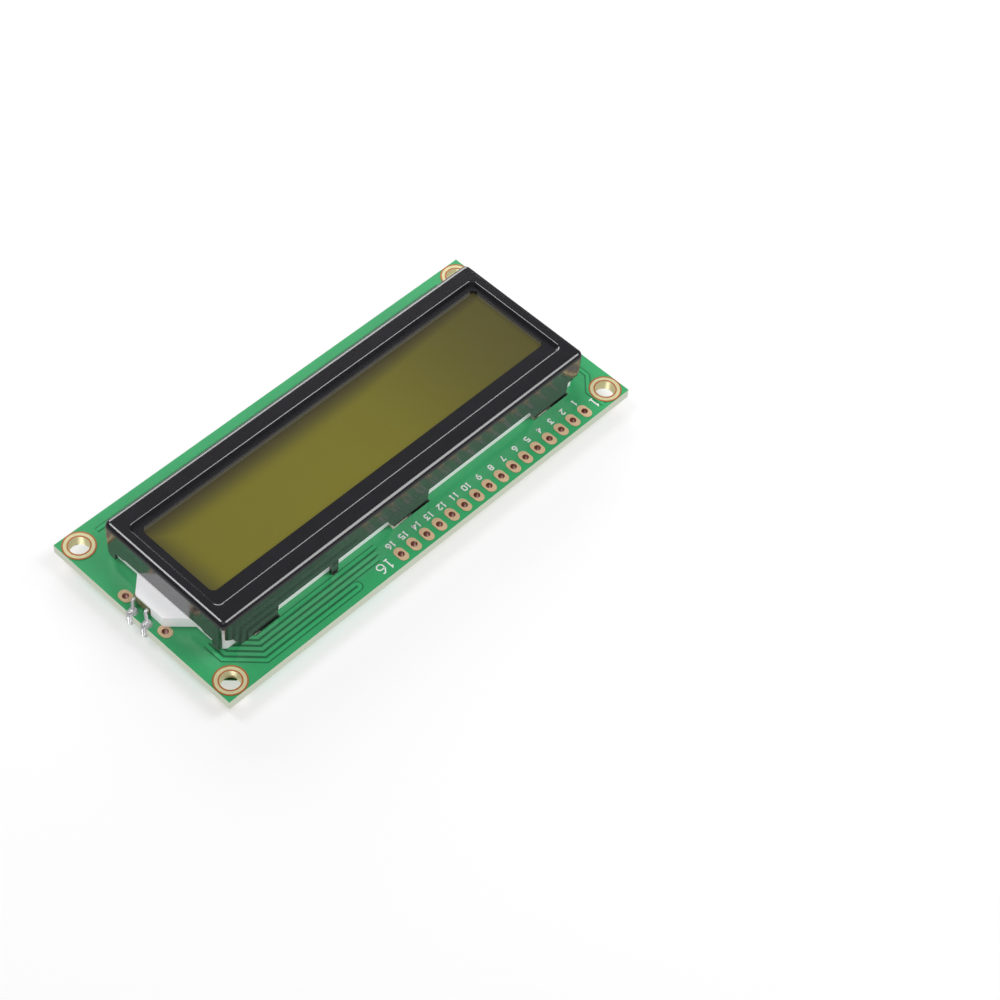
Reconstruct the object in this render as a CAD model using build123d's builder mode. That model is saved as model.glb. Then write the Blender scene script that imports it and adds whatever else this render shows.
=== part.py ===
# Character display module with sixteen header holes
# Frame: origin at the centre of the four mounting holes on the front face of the board,
# +X towards the backlight lamp end, +Y towards the header edge, +Z out of the display face.
# All sizes in millimetres.
import os
from math import asin, cos, degrees, radians, sin
from build123d import *

os.makedirs("parts", exist_ok=True)

# Board
board_length = 80.0
board_width = 36.0
board_thickness = 1.6
hole_edge_gap = 2.5
mount_hole_r = 1.5
mount_ring_r = 2.3
foil = 0.06
plating = 0.06

# Header row
pin_count = 16
pin_pitch = 2.54
pin_hole_r = 0.5
pin_end_gap = 7.9
pin_edge_gap = 1.7
pad_width = 1.6
pad_inner_gap = 2.95
pad_front_gap = 0.45
pad_back_gap = 0.05

# Lamp lands and test lands near the +X edge
lamp_land_gap = 1.5
lamp_land_1_y = 3.55
lamp_land_2_y = -4.6
lamp_land_width = 1.8
lamp_land_length = 2.3
lamp_hole_r = 0.5
round_land_gap = 3.9
round_land_1_y = 1.05
round_land_2_y = -1.95
round_land_r = 0.98
round_hole_r = 0.45

# Bezel frame, one sheet of steel
sheet = 0.5
bezel_end_gap = 4.3
bezel_side_gap = 5.8
bezel_top = 7.1
bend_r = 0.9
corner_r = 1.0
wall_lift = 2.45
end_dip = 2.1
end_cut = 1.1
end_foot = 1.2
end_foot_z = 0.6
dip_edge_gap = 4.5
dip_slope = 0.7
corner_cut = 2.0
corner_lift = 3.3
step_depth = 0.6
flange_end = 1.9
flange_side = 3.05
step_run = 0.35
step_edge_r = 0.3
lip_end = 1.1
lip_side = 1.8
window_x = -0.25
window_y = -0.65
window_r = 0.9
corner_slit = 0.4
slit_top = 5.9

# Lock tabs and locating prongs of the bezel
tab_end_gap = 6.6
tab_width = 6.6
tab_drop = 1.9
tab_neck = 3.5
tab_twist = 34.0
twist_steps = 3
twist_drop = 0.6
blade_corner_r = 0.4
tab_shoulder = 1.5
slot_side_gap = 0.4
slot_face_gap = 0.2
blade_end_gap = 0.1
prong_tab_gap = 14.2
prong_width = 0.9
prong_neck = 1.3
prong_depth = 1.3
prong_hole_r = 0.65
land_depth = 2.45

# Stack under the window, from the board upwards
film = 0.2
glass = 0.9
cavity_gap = 0.3
end_bar = 1.3
outer_rail = 0.85
inner_rail = 0.5
pocket_gap = 0.15
strip_width = 1.5
strip_gap = 0.1
strip_end_gap = 1.7
upper_glass_gap = 0.6

# Tongue of the backlight frame with its lamp and wires
tongue_edge_gap = 1.8
tongue_base = 12.0
tongue_tip = 5.6
tongue_top = 2.1
tongue_gap = 0.15
tongue_corner_r = 0.4
lamp_y = -1.5
lamp_width = 3.4
lamp_depth = 2.0
lamp_proud = 0.1
lamp_low = 0.3
lamp_top = 1.7
lamp_corner_r = 0.3
wire_r = 0.25
wire_gap = 0.05
wire_spread = 2.6
wire_start_z = 1.15
wire_start_run = 0.45
wire_landing = 0.55
wire_end_1_y = -1.95
wire_end_2_y = 0.95
wire_bend_r = 0.38
wire_tail = 1.55
solder_length = 1.9
solder_width = 1.5
solder_height = 0.8
solder_edge_r = 0.2
solder_gap = 0.01
front_solder_r = 0.75
front_solder_height = 0.5

# Parts on the back of the board
cover_1_x = 13.8
cover_1_y = 0.4
cover_1_r = 6.3
cover_2_x = -12.8
cover_2_y = -0.2
cover_2_r = 7.1
cover_height = 1.7
cover_crown = 0.5
cover_edge_run = 1.5
chip_length = 3.2
chip_width = 1.6
chip_height = 0.6
chip_foot = 0.35
array_pitch = 2.38
array_top_gap = 3.75
array_bottom_gap = 2.45
array_side_gap = 8.55
slot_chip_x_gap = 9.2
slot_chip_y_gap = 0.6
cover_chip_x_gap = 2.65
cover_chip_y_gap = 3.75

# Values that follow from the ones above
back_z = -board_thickness
hole_x = board_length / 2 - hole_edge_gap
hole_y = board_width / 2 - hole_edge_gap
pin_first_x = -board_length / 2 + pin_end_gap
pin_row_y = board_width / 2 - pin_edge_gap
pad_inner_y = board_width / 2 - pad_inner_gap
pad_front_end_y = board_width / 2 - pad_front_gap
pad_back_end_y = board_width / 2 - pad_back_gap
lamp_land_x = board_length / 2 - lamp_land_gap
lamp_land_ys = (lamp_land_1_y, lamp_land_2_y)
round_land_x = board_length / 2 - round_land_gap
round_land_ys = (round_land_1_y, round_land_2_y)
bezel_length = board_length - 2 * bezel_end_gap
bezel_width = board_width - 2 * bezel_side_gap
dip_start_y = bezel_width / 2 - dip_edge_gap
step_length = bezel_length - 2 * flange_end
step_width = bezel_width - 2 * flange_side
window_length = step_length - 2 * lip_end
window_width = step_width - 2 * lip_side
bezel_inside_length = bezel_length - 2 * sheet
bezel_inside_width = bezel_width - 2 * sheet
flange_under = bezel_top - sheet
lip_top = bezel_top - step_depth
lip_under = lip_top - sheet
tab_y = bezel_width / 2 - sheet / 2
outer_tab_x = bezel_length / 2 - tab_end_gap
tab_xs = (-outer_tab_x, 0.0, outer_tab_x)
prong_x = outer_tab_x - prong_tab_gap
slot_length = tab_width + 2 * slot_side_gap
slot_depth = sheet + 2 * slot_face_gap
blade_width = slot_length - 2 * blade_end_gap
neck_shift = (blade_width - tab_neck) / 2
land_inner_y = tab_y - slot_depth / 2 - land_depth
frame_length = bezel_inside_length - 2 * cavity_gap
frame_width = bezel_inside_width - 2 * cavity_gap
upper_glass_top = lip_under - film
upper_glass_under = upper_glass_top - glass
lower_glass_under = upper_glass_under - glass
diffuser_under = lower_glass_under - 2 * film
guide_height = diffuser_under - film
strip_channel = strip_width + 2 * strip_gap
strip_length = frame_length - 2 * strip_end_gap
strip_y = frame_width / 2 - outer_rail - strip_channel / 2
pocket_length = frame_length - 2 * end_bar
pocket_width = frame_width - 2 * (outer_rail + strip_channel + inner_rail)
tongue_tip_x = board_length / 2 - tongue_edge_gap
lamp_back_x = tongue_tip_x + lamp_proud - lamp_depth
inlay_length = pocket_length - 2 * pocket_gap
inlay_width = pocket_width - 2 * pocket_gap
hole_places = [(sx * hole_x, sy * hole_y) for sx in (-1, 1) for sy in (-1, 1)]
pin_xs = [pin_first_x + i * pin_pitch for i in range(pin_count)]
wire_end_ys = (wire_end_1_y, wire_end_2_y)
cover_places = ((cover_1_x, cover_1_y, cover_1_r), (cover_2_x, cover_2_y, cover_2_r))
cover_chip_x = cover_2_x - cover_2_r - cover_chip_x_gap
array_room = 2 * land_inner_y - array_top_gap - array_bottom_gap
array_count = round(array_room / array_pitch - 0.4) + 1
chip_places = [
    (cover_chip_x - array_side_gap, land_inner_y - array_top_gap - i * array_pitch)
    for i in range(array_count)
]
chip_places.append((outer_tab_x - slot_chip_x_gap, tab_y + slot_chip_y_gap))
chip_places.append((cover_chip_x, cover_2_y - cover_chip_y_gap))

# Circuit board with its holes and the six slots
with BuildPart() as circuit_board:
    with BuildSketch(Plane.XY):
        Rectangle(board_length, board_width)
    extrude(amount=-board_thickness)
    with BuildSketch(Plane.XY):
        with Locations(*hole_places):
            Circle(mount_hole_r + plating)
        with Locations(*[(x, pin_row_y) for x in pin_xs]):
            Circle(pin_hole_r + plating)
        with Locations(*[(lamp_land_x, y) for y in lamp_land_ys]):
            Circle(lamp_hole_r + plating)
        with Locations(*[(round_land_x, y) for y in round_land_ys]):
            Circle(round_hole_r + plating)
        with Locations((prong_x, tab_y), (-prong_x, -tab_y)):
            Circle(prong_hole_r)
        with Locations(*[(x, side * tab_y) for x in tab_xs for side in (-1, 1)]):
            Rectangle(slot_length, slot_depth)
    extrude(amount=-board_thickness, mode=Mode.SUBTRACT)
circuit_board.part.label = "circuit_board"
export_step(circuit_board.part, "parts/circuit_board.step")

# Bezel frame: bent shell with a pressed step round the window
with BuildPart() as bezel_frame:
    with BuildSketch(Plane.XY):
        RectangleRounded(bezel_length, bezel_width, corner_r)
    extrude(amount=bezel_top)
    fillet(bezel_frame.faces().sort_by(Axis.Z)[-1].edges(), bend_r)
    with BuildSketch(Plane.XY):
        RectangleRounded(bezel_inside_length, bezel_inside_width, corner_r - sheet)
    extrude(amount=flange_under, mode=Mode.SUBTRACT)
    fillet(bezel_frame.edges().filter_by_position(Axis.Z, flange_under, flange_under), bend_r - sheet)
    # lower lip of the pressed step
    with BuildSketch(Plane.XY.offset(lip_under)):
        RectangleRounded(step_length + sheet, step_width + sheet, window_r)
    extrude(amount=flange_under - lip_under)
    # sloping recess above the lip
    with BuildSketch(Plane.XY.offset(lip_top)):
        RectangleRounded(step_length - 2 * step_run, step_width - 2 * step_run, window_r - step_run)
    with BuildSketch(Plane.XY.offset(bezel_top)):
        RectangleRounded(step_length, step_width, window_r)
    loft(ruled=True, mode=Mode.SUBTRACT)
    top_edges = bezel_frame.edges().filter_by_position(Axis.Z, bezel_top, bezel_top)
    fillet(
        [e for e in top_edges if abs(e.center().X) < step_length / 2 + 0.1 and abs(e.center().Y) < step_width / 2 + 0.1],
        step_edge_r,
    )
    # window
    with BuildSketch(Plane.XY.offset(lip_under)):
        with Locations((window_x, window_y)):
            RectangleRounded(window_length, window_width, window_r)
    extrude(amount=step_depth + sheet, mode=Mode.SUBTRACT)
    # long walls: raised lower edges that leave three feet and one prong neck on each side
    for turn in (1, -1):
        with BuildSketch(Plane.XZ.offset(-turn * tab_y)):
            Rectangle(bezel_length + 4 * sheet, wall_lift, align=(Align.CENTER, Align.MIN))
            for x in tab_xs:
                Polygon(
                    (turn * (x - tab_width / 2), 0),
                    (turn * (x + tab_width / 2), 0),
                    (turn * (x + tab_width / 2 + tab_shoulder), wall_lift),
                    (turn * (x - tab_width / 2 - tab_shoulder / 6), wall_lift),
                    align=None,
                    mode=Mode.SUBTRACT,
                )
            with Locations((turn * prong_x, 0)):
                Rectangle(prong_neck, wall_lift, align=(Align.CENTER, Align.MIN), mode=Mode.SUBTRACT)
            for end in (1, -1):
                Polygon(
                    (end * (bezel_length / 2 - corner_cut), 0),
                    (end * (bezel_length / 2 - corner_cut), wall_lift),
                    (end * (bezel_length / 2 + sheet), corner_lift + 2 * sheet),
                    (end * (bezel_length / 2 + sheet), 0),
                    align=None,
                )
        extrude(amount=sheet, both=True, mode=Mode.SUBTRACT)
    # end walls: raised in the middle for the tongue, lower near the corners
    for end in (1, -1):
        with BuildSketch(Plane.YZ.offset(end * (bezel_length - sheet) / 2)):
            Polygon(
                (-bezel_width / 2 - sheet, 0),
                (-bezel_width / 2 - sheet, corner_lift),
                (-bezel_width / 2 + end_cut, end_foot_z),
                (-bezel_width / 2 + end_cut + end_foot, end_foot_z),
                (-bezel_width / 2 + end_cut + end_foot, end_dip),
                (-dip_start_y - dip_slope, end_dip),
                (-dip_start_y, wall_lift),
                (dip_start_y, wall_lift),
                (dip_start_y + dip_slope, end_dip),
                (bezel_width / 2 - end_cut - end_foot, end_dip),
                (bezel_width / 2 - end_cut - end_foot, end_foot_z),
                (bezel_width / 2 - end_cut, end_foot_z),
                (bezel_width / 2 + sheet, corner_lift),
                (bezel_width / 2 + sheet, 0),
                align=None,
            )
        extrude(amount=sheet, both=True, mode=Mode.SUBTRACT)
    # open slits where the bent walls meet
    with BuildSketch(Plane.XY):
        for sx in (1, -1):
            for sy in (1, -1):
                with Locations((sx * bezel_length / 2, sy * bezel_width / 2)):
                    Rectangle(4 * sheet, corner_slit, rotation=45 * sx * sy)
    extrude(amount=slit_top, mode=Mode.SUBTRACT)
    # necks of the lock tabs and the locating prongs, down through the board
    with BuildSketch(Plane.XY):
        with Locations(*[(x - side * neck_shift, side * tab_y) for x in tab_xs for side in (-1, 1)]):
            Rectangle(tab_neck, sheet)
    extrude(amount=-board_thickness)
    with BuildSketch(Plane.XY):
        with Locations((prong_x, tab_y), (-prong_x, -tab_y)):
            Rectangle(prong_width, sheet)
    extrude(amount=-prong_depth)
    # lock tabs: each neck twists below the board and carries a blade that lies over its land
    for x in tab_xs:
        for side in (-1, 1):
            for step in range(twist_steps + 1):
                share = step / twist_steps
                turned = radians(tab_twist * share)
                blade_plane = Plane(
                    origin=(x - side * neck_shift, side * tab_y, back_z - twist_drop * share),
                    x_dir=(cos(turned), -sin(turned), 0),
                    z_dir=(0, 0, 1),
                )
                with BuildSketch(blade_plane):
                    Rectangle(tab_neck, sheet)
            loft()
            across = (cos(radians(tab_twist)), -sin(radians(tab_twist)), 0)
            along = (sin(radians(tab_twist)), cos(radians(tab_twist)), 0)
            with BuildSketch(Plane(origin=(x - side * neck_shift, side * tab_y, back_z), x_dir=across, z_dir=along)):
                with Locations((side * neck_shift, foil)):
                    RectangleRounded(blade_width, tab_drop - foil, blade_corner_r, align=(Align.CENTER, Align.MIN))
            extrude(amount=sheet / 2, both=True)
bezel_frame.part.label = "bezel_frame"
export_step(bezel_frame.part, "parts/bezel_frame.step")

# Front polariser under the window
with BuildPart() as front_polariser:
    with BuildSketch(Plane.XY.offset(upper_glass_top)):
        Rectangle(step_length, step_width)
    extrude(amount=film)
front_polariser.part.label = "front_polariser"
export_step(front_polariser.part, "parts/front_polariser.step")

# Upper glass, the wider pane with the contact ledges
with BuildPart() as upper_glass:
    with BuildSketch(Plane.XY.offset(upper_glass_under)):
        Rectangle(bezel_inside_length - 2 * upper_glass_gap, bezel_inside_width - 2 * upper_glass_gap)
    extrude(amount=glass)
upper_glass.part.label = "upper_glass"
export_step(upper_glass.part, "parts/upper_glass.step")

# Lower glass, rear polariser, diffuser, light guide and reflector fill the pocket of the backlight frame
with BuildPart() as lower_glass:
    with BuildSketch(Plane.XY.offset(lower_glass_under)):
        Rectangle(inlay_length, inlay_width)
    extrude(amount=glass)
lower_glass.part.label = "lower_glass"
export_step(lower_glass.part, "parts/lower_glass.step")

with BuildPart() as rear_polariser:
    with BuildSketch(Plane.XY.offset(lower_glass_under)):
        Rectangle(inlay_length, inlay_width)
    extrude(amount=-film)
rear_polariser.part.label = "rear_polariser"
export_step(rear_polariser.part, "parts/rear_polariser.step")

with BuildPart() as diffuser_film:
    with BuildSketch(Plane.XY.offset(diffuser_under)):
        Rectangle(inlay_length, inlay_width)
    extrude(amount=film)
diffuser_film.part.label = "diffuser_film"
export_step(diffuser_film.part, "parts/diffuser_film.step")

with BuildPart() as light_guide:
    with BuildSketch(Plane.XY.offset(film)):
        Rectangle(inlay_length, inlay_width)
    extrude(amount=guide_height)
light_guide.part.label = "light_guide"
export_step(light_guide.part, "parts/light_guide.step")

with BuildPart() as reflector_film:
    with BuildSketch(Plane.XY):
        Rectangle(inlay_length, inlay_width)
    extrude(amount=film)
reflector_film.part.label = "reflector_film"
export_step(reflector_film.part, "parts/reflector_film.step")

# Backlight frame: white surround with two strip channels and the tongue that holds the lamp
with BuildPart() as backlight_frame:
    with BuildSketch(Plane.XY):
        RectangleRounded(frame_length, frame_width, corner_r)
        Rectangle(pocket_length, pocket_width, mode=Mode.SUBTRACT)
        with Locations((0, strip_y), (0, -strip_y)):
            Rectangle(strip_length + 2 * strip_gap, strip_channel, mode=Mode.SUBTRACT)
    extrude(amount=upper_glass_under)
    with BuildSketch(Plane.XY.offset(tongue_gap)):
        Polygon(
            (frame_length / 2 - sheet, -tongue_base / 2),
            (frame_length / 2, -tongue_base / 2),
            (tongue_tip_x, -tongue_tip / 2),
            (tongue_tip_x, tongue_tip / 2),
            (frame_length / 2, tongue_base / 2),
            (frame_length / 2 - sheet, tongue_base / 2),
            align=None,
        )
    extrude(amount=tongue_top - tongue_gap)
    fillet(backlight_frame.edges().filter_by(Axis.Z).sort_by(Axis.X)[-2:], tongue_corner_r)
    # light port through the end bar
    with BuildSketch(Plane.XY.offset(lamp_low)):
        with Locations(((pocket_length / 2 + lamp_back_x) / 2, lamp_y)):
            Rectangle(lamp_back_x - pocket_length / 2 + sheet, lamp_width - 2 * sheet)
    extrude(amount=lamp_top - lamp_low, mode=Mode.SUBTRACT)
    # lamp pocket, open below and at the tip
    with BuildSketch(Plane.XY):
        with Locations((lamp_back_x, lamp_y)):
            Rectangle(2 * lamp_depth, lamp_width + 2 * strip_gap, align=(Align.MIN, Align.CENTER))
    extrude(amount=lamp_top, mode=Mode.SUBTRACT)
backlight_frame.part.label = "backlight_frame"
export_step(backlight_frame.part, "parts/backlight_frame.step")

# Lamp in the tongue
with BuildPart() as backlight_lamp:
    with BuildSketch(Plane.XY.offset(lamp_low)):
        with Locations((lamp_back_x, lamp_y)):
            Rectangle(lamp_depth, lamp_width, align=(Align.MIN, Align.CENTER))
    extrude(amount=lamp_top - lamp_low)
    fillet(backlight_lamp.edges().filter_by(Axis.Z).sort_by(Axis.X)[-2:], lamp_corner_r)
backlight_lamp.part.label = "backlight_lamp"
export_step(backlight_lamp.part, "parts/backlight_lamp.step")

# Lamp wires: out of the lamp, down to the board, over its edge and back underneath, with solder on both faces
for i, end_y in enumerate(wire_end_ys):
    start = (tongue_tip_x + lamp_proud, lamp_y + (i - 0.5) * wire_spread, wire_start_z)
    over_z = wire_r + wire_gap
    over_x = board_length / 2 + wire_r + wire_gap
    with BuildPart() as lamp_wire:
        with BuildLine() as wire_path:
            FilletPolyline(
                start,
                (start[0] + wire_start_run, start[1], wire_start_z),
                (board_length / 2 - wire_landing, end_y, over_z),
                (over_x, end_y, over_z),
                (over_x, end_y, back_z - over_z),
                (over_x - wire_tail, end_y, back_z - over_z),
                radius=wire_bend_r,
            )
        with BuildSketch(Plane(origin=wire_path.line @ 0, z_dir=wire_path.line % 0)):
            Circle(wire_r)
        sweep()
    lamp_wire.part.label = f"lamp_wire_{i + 1}"
    export_step(lamp_wire.part, f"parts/lamp_wire_{i + 1}.step")

    with BuildPart() as wire_room:
        with BuildSketch(Plane(origin=wire_path.line @ 0, z_dir=wire_path.line % 0)):
            Circle(wire_r + solder_gap)
        sweep(path=wire_path.line)

    with BuildPart() as wire_solder:
        with BuildSketch(Plane.XY.offset(back_z)):
            with Locations((over_x - wire_tail / 2 - wire_r, end_y)):
                SlotOverall(solder_length, solder_width)
        with BuildSketch(Plane.XY.offset(back_z - solder_height)):
            with Locations((over_x - wire_tail / 2 - wire_r, end_y)):
                SlotOverall(solder_length / 2, solder_width / 3)
        loft()
        fillet(wire_solder.faces().sort_by(Axis.Z)[0].edges(), solder_edge_r)
        # low mound on the front and the film that joins both round the edge of the board
        with BuildSketch(Plane.XY):
            with Locations((board_length / 2 - wire_landing, end_y)):
                Circle(front_solder_r)
        extrude(amount=front_solder_height, taper=25)
        with BuildSketch(Plane.XY.offset(over_z)):
            with Locations((board_length / 2, end_y)):
                Rectangle(2 * wire_landing, 4 * wire_r, align=(Align.CENTER, Align.CENTER))
        extrude(amount=back_z - 2 * over_z)
        with BuildSketch(Plane.XY):
            with Locations((board_length / 2, end_y)):
                Rectangle(solder_length, 2 * solder_width, align=(Align.MAX, Align.CENTER))
        extrude(amount=-board_thickness, mode=Mode.SUBTRACT)
        with BuildSketch(Plane.XY.offset(front_solder_height)):
            with Locations((over_x, end_y)):
                Rectangle(solder_length, 2 * solder_width, align=(Align.MIN, Align.CENTER))
        extrude(amount=back_z - 2 * solder_height, mode=Mode.SUBTRACT)
        add(wire_room.part, mode=Mode.SUBTRACT)
    wire_solder.part.label = f"wire_solder_{i + 1}"
    export_step(wire_solder.part, f"parts/wire_solder_{i + 1}.step")

# Rubber contact strips between the board and the ledges of the upper glass
for i, side in enumerate((-1, 1)):
    with BuildPart() as contact_strip:
        with BuildSketch(Plane.XY):
            with Locations((0, side * strip_y)):
                Rectangle(strip_length, strip_width)
        extrude(amount=upper_glass_under)
    contact_strip.part.label = f"contact_strip_{i + 1}"
    export_step(contact_strip.part, f"parts/contact_strip_{i + 1}.step")

# Plated rings of the four mounting holes
for i, (x, y) in enumerate(hole_places):
    with BuildPart() as mounting_ring:
        with BuildSketch(Plane.XY):
            with Locations((x, y)):
                Circle(mount_ring_r)
        extrude(amount=foil)
        with BuildSketch(Plane.XY.offset(back_z)):
            with Locations((x, y)):
                Circle(mount_ring_r)
        extrude(amount=-foil)
        with BuildSketch(Plane.XY):
            with Locations((x, y)):
                Circle(mount_hole_r + plating)
        extrude(amount=-board_thickness)
        with BuildSketch(Plane.XY.offset(foil)):
            with Locations((x, y)):
                Circle(mount_hole_r)
        extrude(amount=-board_thickness - 2 * foil, mode=Mode.SUBTRACT)
    mounting_ring.part.label = f"mounting_ring_{i + 1}"
    export_step(mounting_ring.part, f"parts/mounting_ring_{i + 1}.step")

# Header lands: long pads on both faces joined through each hole
for i, x in enumerate(pin_xs):
    with BuildPart() as header_land:
        with BuildSketch(Plane.XY):
            with Locations((x, (pad_inner_y + pad_front_end_y) / 2)):
                SlotOverall(pad_front_end_y - pad_inner_y, pad_width, rotation=90)
        extrude(amount=foil)
        with BuildSketch(Plane.XY.offset(back_z)):
            with Locations((x, (pad_inner_y + pad_back_end_y) / 2)):
                SlotOverall(pad_back_end_y - pad_inner_y, pad_width, rotation=90)
        extrude(amount=-foil)
        with BuildSketch(Plane.XY):
            with Locations((x, pin_row_y)):
                Circle(pin_hole_r + plating)
        extrude(amount=-board_thickness)
        with BuildSketch(Plane.XY.offset(foil)):
            with Locations((x, pin_row_y)):
                Circle(pin_hole_r)
        extrude(amount=-board_thickness - 2 * foil, mode=Mode.SUBTRACT)
    header_land.part.label = f"header_land_{i + 1:02d}"
    export_step(header_land.part, f"parts/header_land_{i + 1:02d}.step")

# Lamp supply lands near the +X edge
for i, y in enumerate(lamp_land_ys):
    with BuildPart() as lamp_land:
        for level, up in ((0, 1), (back_z, -1)):
            with BuildSketch(Plane.XY.offset(level)):
                with Locations((lamp_land_x, y)):
                    SlotOverall(lamp_land_length, lamp_land_width, rotation=90)
            extrude(amount=up * foil)
        with BuildSketch(Plane.XY):
            with Locations((lamp_land_x, y)):
                Circle(lamp_hole_r + plating)
        extrude(amount=-board_thickness)
        with BuildSketch(Plane.XY.offset(foil)):
            with Locations((lamp_land_x, y)):
                Circle(lamp_hole_r)
        extrude(amount=-board_thickness - 2 * foil, mode=Mode.SUBTRACT)
    lamp_land.part.label = f"lamp_land_{i + 1}"
    export_step(lamp_land.part, f"parts/lamp_land_{i + 1}.step")

# Round lands beside them
for i, y in enumerate(round_land_ys):
    with BuildPart() as round_land:
        with BuildSketch(Plane.XY.offset(foil)):
            with Locations((round_land_x, y)):
                Circle(round_land_r)
        extrude(amount=-foil)
        with BuildSketch(Plane.XY.offset(back_z)):
            with Locations((round_land_x, y)):
                Circle(round_land_r)
        extrude(amount=-foil)
        with BuildSketch(Plane.XY):
            with Locations((round_land_x, y)):
                Circle(round_hole_r + plating)
        extrude(amount=-board_thickness)
        with BuildSketch(Plane.XY.offset(foil)):
            with Locations((round_land_x, y)):
                Circle(round_hole_r)
        extrude(amount=-board_thickness - 2 * foil, mode=Mode.SUBTRACT)
    round_land.part.label = f"round_land_{i + 1}"
    export_step(round_land.part, f"parts/round_land_{i + 1}.step")

# Tinned lands beside the six slots on the back
for i, (x, side) in enumerate([(x, side) for x in tab_xs for side in (-1, 1)]):
    with BuildPart() as tab_land:
        with BuildSketch(Plane.XY.offset(back_z)):
            with Locations((x, side * (tab_y - slot_depth / 2 - land_depth / 2))):
                Rectangle(tab_width, land_depth)
        extrude(amount=-foil)
    tab_land.part.label = f"tab_land_{i + 1}"
    export_step(tab_land.part, f"parts/tab_land_{i + 1}.step")

# Domed resin covers over the two bare chips
for i, (x, y, r) in enumerate(cover_places):
    with BuildPart() as chip_cover:
        with BuildSketch(Plane(origin=(x, y, back_z), x_dir=(1, 0, 0), z_dir=(0, -1, 0))):
            with BuildLine():
                crown_r = ((r - cover_edge_run) ** 2 + cover_crown**2) / (2 * cover_crown)
                crown_angle = degrees(asin((r - cover_edge_run) / crown_r))
                crown = JernArc((0, -cover_height), (1, 0), crown_r, crown_angle)
                TangentArc(crown @ 1, (r, 0), tangent=crown % 1)
                Polyline((r, 0), (0, 0), (0, -cover_height))
            make_face()
        revolve(axis=Axis((x, y, 0), (0, 0, 1)))
    chip_cover.part.label = f"chip_cover_{i + 1}"
    export_step(chip_cover.part, f"parts/chip_cover_{i + 1}.step")

# Chip resistors with their solder feet
for i, (x, y) in enumerate(chip_places):
    with BuildPart() as resistor:
        with BuildSketch(Plane(origin=(x, y, back_z), x_dir=(1, 0, 0), z_dir=(0, -1, 0))):
            Polygon(
                (-chip_length / 2 - chip_foot, 0),
                (chip_length / 2 + chip_foot, 0),
                (chip_length / 2 + chip_foot / 4, -0.7 * chip_height),
                (chip_length / 2, -0.75 * chip_height),
                (chip_length / 2, -chip_height),
                (-chip_length / 2, -chip_height),
                (-chip_length / 2, -0.75 * chip_height),
                (-chip_length / 2 - chip_foot / 4, -0.7 * chip_height),
                align=None,
            )
        extrude(amount=chip_width / 2, both=True)
    resistor.part.label = f"resistor_{i + 1}"
    export_step(resistor.part, f"parts/resistor_{i + 1}.step")
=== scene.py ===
"""Looks of a character display module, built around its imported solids. All lengths are in metres."""
import math

import bmesh
import bpy
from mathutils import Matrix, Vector


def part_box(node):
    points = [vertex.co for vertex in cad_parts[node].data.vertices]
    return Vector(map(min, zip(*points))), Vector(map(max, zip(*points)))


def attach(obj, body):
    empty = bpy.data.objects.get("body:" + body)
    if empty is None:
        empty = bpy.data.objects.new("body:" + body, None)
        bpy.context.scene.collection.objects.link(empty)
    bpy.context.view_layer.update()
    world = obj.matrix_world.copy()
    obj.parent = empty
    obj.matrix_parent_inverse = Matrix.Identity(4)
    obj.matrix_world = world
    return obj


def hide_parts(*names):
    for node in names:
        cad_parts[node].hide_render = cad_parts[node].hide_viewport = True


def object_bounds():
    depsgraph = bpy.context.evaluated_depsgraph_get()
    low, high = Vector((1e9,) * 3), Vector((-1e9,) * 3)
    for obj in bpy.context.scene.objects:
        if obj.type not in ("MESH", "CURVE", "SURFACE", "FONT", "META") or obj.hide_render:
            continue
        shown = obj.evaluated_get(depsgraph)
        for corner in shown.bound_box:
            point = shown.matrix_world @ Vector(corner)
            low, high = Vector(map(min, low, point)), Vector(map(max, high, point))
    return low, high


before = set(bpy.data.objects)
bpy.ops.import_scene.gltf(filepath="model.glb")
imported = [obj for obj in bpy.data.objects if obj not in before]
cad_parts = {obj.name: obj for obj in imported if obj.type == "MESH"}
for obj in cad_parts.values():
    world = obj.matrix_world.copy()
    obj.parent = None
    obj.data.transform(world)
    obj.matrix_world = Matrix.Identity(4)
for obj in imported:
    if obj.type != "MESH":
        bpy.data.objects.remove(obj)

bl_info = {
    "name": "Character display module",
    "version": (1, 0, 0),
    "blender": (4, 5, 0),
    "location": "View3D > Sidebar > Display",
    "description": "Dresses the solids of a character display module with copper, print and finishes",
    "category": "Object",
}

MM = 0.001
CAD_LOW, CAD_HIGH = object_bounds()
BOARD_LOW, BOARD_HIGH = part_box("circuit_board")
FRONT = BOARD_HIGH.z
BACK = BOARD_LOW.z
SINK = 0.01 * MM  # how deep a printed or plated layer starts inside the board
LEVEL_STEP = 0.0012 * MM  # neighbours in a list of ribbons lie this much apart, since some of them cross
LEVEL_STEPS = 7  # ribbons in a row with a level of their own
MERGE = 0.001 * MM  # vertices nearer than this are one
CLOSED = 1e-9  # a path whose ends are nearer than this, in metres, is closed
SPOT_EDGE = 0.3  # bevel round a flat spot, as a share of its height
CORNER_STEPS = 6  # faces round the corner of a flat spot
MITRE_LIMIT = 0.35  # a mitre reaches no further out than half a width divided by this
CLOUD_GRAINS = 12  # slow clouds in a finish are this many times as large as its grain
RELIEF = 0.05 * MM  # depth that the bump of a finish stands for

# Camera of the photograph, worked out from the corners, the holes and the header row of the board
CAMERA_PLACE = (0.15828, 0.15577, 0.27901)
CAMERA_TURN = (37.783, -3.792, 133.770)  # degrees about x, y and z
SENSOR_WIDTH = 36  # millimetres

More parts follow.
